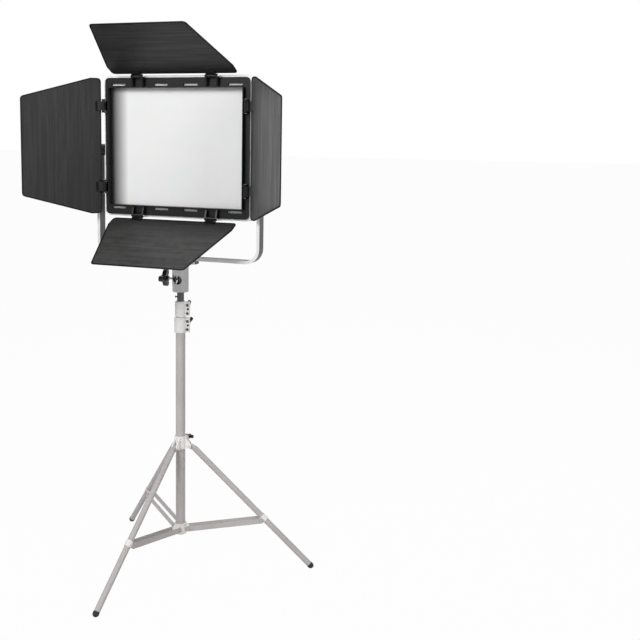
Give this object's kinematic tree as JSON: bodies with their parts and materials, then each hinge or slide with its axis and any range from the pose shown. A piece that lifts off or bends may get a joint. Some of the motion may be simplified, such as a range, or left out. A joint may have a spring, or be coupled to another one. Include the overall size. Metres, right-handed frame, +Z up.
{
  "type": "led panel light",
  "caption": "Flat LED panel light with four hinged barndoors, in a tilting yoke on a telescopic stand whose legs fold.",
  "frame": {"origin": "middle of the box round the whole light, on the floor, with the stand open and the doors as they stand at rest", "axes": "+Z up along the column, the lit face looks along -Y, +X to its right seen from behind the light"},
  "size_m": [0.6068, 0.5108, 1.2299],
  "materials": {
    "base_tube": "satin warm grey paint",
    "mid_tube": "satin warm grey paint",
    "top_tube": "satin warm grey paint",
    "leg_1": "satin warm grey paint",
    "leg_2": "satin warm grey paint",
    "leg_3": "satin warm grey paint",
    "strut_1": "satin warm grey paint",
    "strut_2": "satin warm grey paint",
    "strut_3": "satin warm grey paint",
    "base_spider": "off-white paint on cast metal",
    "leg_collar": "off-white paint on cast metal",
    "lower_clamp": "off-white paint on cast metal",
    "upper_clamp": "off-white paint on cast metal",
    "leg_clamp_1": "off-white paint on cast metal",
    "leg_clamp_2": "off-white paint on cast metal",
    "leg_clamp_3": "off-white paint on cast metal",
    "spigot": "blackened",
    "spigot_pin": "blackened",
    "king_bolt": "blackened",
    "lower_clamp_screw_top": "blackened",
    "lower_clamp_screw_bottom": "blackened",
    "upper_clamp_screw_top": "blackened",
    "upper_clamp_screw_bottom": "blackened",
    "receiver": "satin",
    "receiver_bolt": "satin",
    "yoke": "satin",
    "yoke_block": "satin",
    "leg_collar_knob": "matte black",
    "lower_clamp_knob": "matte black",
    "upper_clamp_knob": "matte black",
    "receiver_knob": "matte black",
    "tilt_knob_left": "matte black",
    "tilt_knob_right": "matte black",
    "tilt_spacer_left": "matte black",
    "tilt_spacer_right": "matte black",
    "dial_brightness": "matte black",
    "dial_colour": "matte black",
    "power_switch": "matte black",
    "power_rocker": "matte black",
    "power_inlet": "matte black",
    "foot_1": "matte black",
    "foot_2": "matte black",
    "foot_3": "matte black",
    "housing": "satin silver",
    "front_bezel": "satin silver",
    "barndoor_frame": "satin black coating",
    "door_top": "brushed dark grey coating",
    "door_bottom": "brushed dark grey coating",
    "door_left": "brushed dark grey coating",
    "door_right": "brushed dark grey coating",
    "diffuser": "milky white, translucent",
    "led_board": "white solder mask",
    "heat_sink": "plain",
    "driver_box": "plain",
    "display": "gloss black"
  },
  "bodies": {
    "stand": {"base_tube": "base_tube", "base_spider": "base_spider", "lower_clamp": "lower_clamp", "lower_clamp_screw_top": "lower_clamp_screw_top", "lower_clamp_screw_bottom": "lower_clamp_screw_bottom"},
    "lower_clamp_knob": {"lower_clamp_knob": "lower_clamp_knob"},
    "collar": {"leg_collar": "leg_collar"},
    "collar_knob": {"leg_collar_knob": "leg_collar_knob"},
    "leg_1": {"leg_1": "leg_1", "leg_clamp_1": "leg_clamp_1", "foot_1": "foot_1"},
    "leg_2": {"leg_2": "leg_2", "leg_clamp_2": "leg_clamp_2", "foot_2": "foot_2"},
    "leg_3": {"leg_3": "leg_3", "leg_clamp_3": "leg_clamp_3", "foot_3": "foot_3"},
    "strut_1": {"strut_1": "strut_1"},
    "strut_2": {"strut_2": "strut_2"},
    "strut_3": {"strut_3": "strut_3"},
    "mid": {"mid_tube": "mid_tube", "upper_clamp": "upper_clamp", "upper_clamp_screw_top": "upper_clamp_screw_top", "upper_clamp_screw_bottom": "upper_clamp_screw_bottom"},
    "upper_clamp_knob": {"upper_clamp_knob": "upper_clamp_knob"},
    "top": {"top_tube": "top_tube", "spigot": "spigot", "spigot_pin": "spigot_pin"},
    "yoke": {"receiver": "receiver", "yoke_block": "yoke_block", "yoke": "yoke", "king_bolt": "king_bolt"},
    "receiver_knob": {"receiver_bolt": "receiver_bolt", "receiver_knob": "receiver_knob"},
    "head": {"tilt_spacer_left": "tilt_spacer_left", "tilt_spacer_right": "tilt_spacer_right", "housing": "housing", "front_bezel": "front_bezel", "diffuser": "diffuser", "led_board": "led_board", "heat_sink": "heat_sink", "driver_box": "driver_box", "display": "display", "power_switch": "power_switch", "power_inlet": "power_inlet", "barndoor_frame": "barndoor_frame"},
    "tilt_knob_left": {"tilt_knob_left": "tilt_knob_left"},
    "tilt_knob_right": {"tilt_knob_right": "tilt_knob_right"},
    "door_top": {"door_top": "door_top"},
    "door_bottom": {"door_bottom": "door_bottom"},
    "door_left": {"door_left": "door_left"},
    "door_right": {"door_right": "door_right"},
    "dial_brightness": {"dial_brightness": "dial_brightness"},
    "dial_colour": {"dial_colour": "dial_colour"},
    "power_rocker": {"power_rocker": "power_rocker"}
  },
  "joints": [
    {"name": "collar_slide", "type": "slide", "parent": "stand", "child": "collar", "axis": [0, 0, 1], "range_m": [0, 0.21835]},
    {"name": "leg_1_fold", "type": "hinge", "parent": "collar", "child": "leg_1", "pos_m": [0.01733, 0.06006, 0.293], "axis": [-0.3502, 0.9367, 0], "range_deg": [0, 42.31]},
    {"name": "leg_2_fold", "type": "hinge", "parent": "collar", "child": "leg_2", "pos_m": [-0.01427, 0.06535, 0.293], "axis": [-0.6361, -0.7716, 0], "range_deg": [0, 42.31]},
    {"name": "leg_3_fold", "type": "hinge", "parent": "collar", "child": "leg_3", "pos_m": [-0.00305, 0.03533, 0.293], "axis": [0.9863, -0.165, 0], "range_deg": [0, 42.31]},
    {"name": "strut_1_fold", "type": "hinge", "parent": "stand", "child": "strut_1", "pos_m": [0.01686, 0.05989, 0.093], "axis": [0.3502, -0.9367, 0], "range_deg": [0, 79.98]},
    {"name": "strut_2_fold", "type": "hinge", "parent": "stand", "child": "strut_2", "pos_m": [-0.01389, 0.06503, 0.093], "axis": [0.6361, 0.7716, 0], "range_deg": [0, 79.98]},
    {"name": "strut_3_fold", "type": "hinge", "parent": "stand", "child": "strut_3", "pos_m": [-0.00297, 0.03583, 0.093], "axis": [-0.9863, 0.165, 0], "range_deg": [0, 79.98]},
    {"name": "collar_knob_turn", "type": "hinge", "parent": "collar", "child": "collar_knob", "pos_m": [0.00396, 0.07725, 0.305], "axis": [0.165, 0.9863, 0], "range_deg": [0, 360]},
    {"name": "lower_clamp_knob_turn", "type": "hinge", "parent": "stand", "child": "lower_clamp_knob", "pos_m": [0.01132, 0.068, 0.576], "axis": [-0.4384, 0.8988, 0], "range_deg": [0, 360]},
    {"name": "mid_slide", "type": "slide", "parent": "stand", "child": "mid", "axis": [0, 0, 1], "range_m": [0, 0.4]},
    {"name": "upper_clamp_knob_turn", "type": "hinge", "parent": "mid", "child": "upper_clamp_knob", "pos_m": [0.01132, 0.068, 0.613], "axis": [-0.4384, 0.8988, 0], "range_deg": [0, 360]},
    {"name": "top_slide", "type": "slide", "parent": "mid", "child": "top", "axis": [0, 0, 1], "range_m": [0, 0.35]},
    {"name": "pan", "type": "hinge", "parent": "top", "child": "yoke", "pos_m": [0, 0.05358, 0.675], "axis": [0, 0, 1], "continuous": true},
    {"name": "receiver_knob_turn", "type": "hinge", "parent": "yoke", "child": "receiver_knob", "pos_m": [0, 0.05358, 0.681], "axis": [-1, 0, 0], "range_deg": [0, 360]},
    {"name": "tilt", "type": "hinge", "parent": "yoke", "child": "head", "pos_m": [0, 0.04158, 0.9694], "axis": [-1, 0, 0], "range_deg": [-7, 90]},
    {"name": "tilt_knob_left_turn", "type": "hinge", "parent": "head", "child": "tilt_knob_left", "pos_m": [0, 0.04158, 0.9694], "axis": [-1, 0, 0], "range_deg": [0, 360]},
    {"name": "tilt_knob_right_turn", "type": "hinge", "parent": "head", "child": "tilt_knob_right", "pos_m": [0, 0.04158, 0.9694], "axis": [1, 0, 0], "range_deg": [0, 360]},
    {"name": "door_top_swing", "type": "hinge", "parent": "head", "child": "door_top", "pos_m": [0, 0.02073, 1.13149], "axis": [-1, 0, 0], "range_deg": [-118, 50]},
    {"name": "door_bottom_swing", "type": "hinge", "parent": "head", "child": "door_bottom", "pos_m": [0, 0.02012, 0.82524], "axis": [1, 0, 0], "range_deg": [-115, 48]},
    {"name": "door_left_swing", "type": "hinge", "parent": "head", "child": "door_left", "pos_m": [-0.17394, 0.0175, 0.9774], "axis": [0, 0, -1], "range_deg": [-131, 37]},
    {"name": "door_right_swing", "type": "hinge", "parent": "head", "child": "door_right", "pos_m": [0.17205, 0.01587, 0.9774], "axis": [0, 0, 1], "range_deg": [-131, 37]},
    {"name": "dial_brightness_turn", "type": "hinge", "parent": "head", "child": "dial_brightness", "pos_m": [-0.062, 0.08668, 0.9324], "axis": [0, 1, 0], "continuous": true},
    {"name": "dial_colour_turn", "type": "hinge", "parent": "head", "child": "dial_colour", "pos_m": [0.062, 0.08668, 0.9324], "axis": [0, 1, 0], "continuous": true},
    {"name": "power_rocker_tip", "type": "hinge", "parent": "head", "child": "power_rocker", "pos_m": [0.062, 0.08318, 0.8674], "axis": [1, 0, 0], "range_deg": [0, 14]}
  ],
  "couplings": [
    {"joint": "leg_1_fold", "follows": "collar_slide", "rad_per_m": 3.3812},
    {"joint": "leg_2_fold", "follows": "collar_slide", "rad_per_m": 3.3812},
    {"joint": "leg_3_fold", "follows": "collar_slide", "rad_per_m": 3.3812},
    {"joint": "strut_1_fold", "follows": "collar_slide", "rad_per_m": 6.3922},
    {"joint": "strut_2_fold", "follows": "collar_slide", "rad_per_m": 6.3922},
    {"joint": "strut_3_fold", "follows": "collar_slide", "rad_per_m": 6.3922}
  ]
}
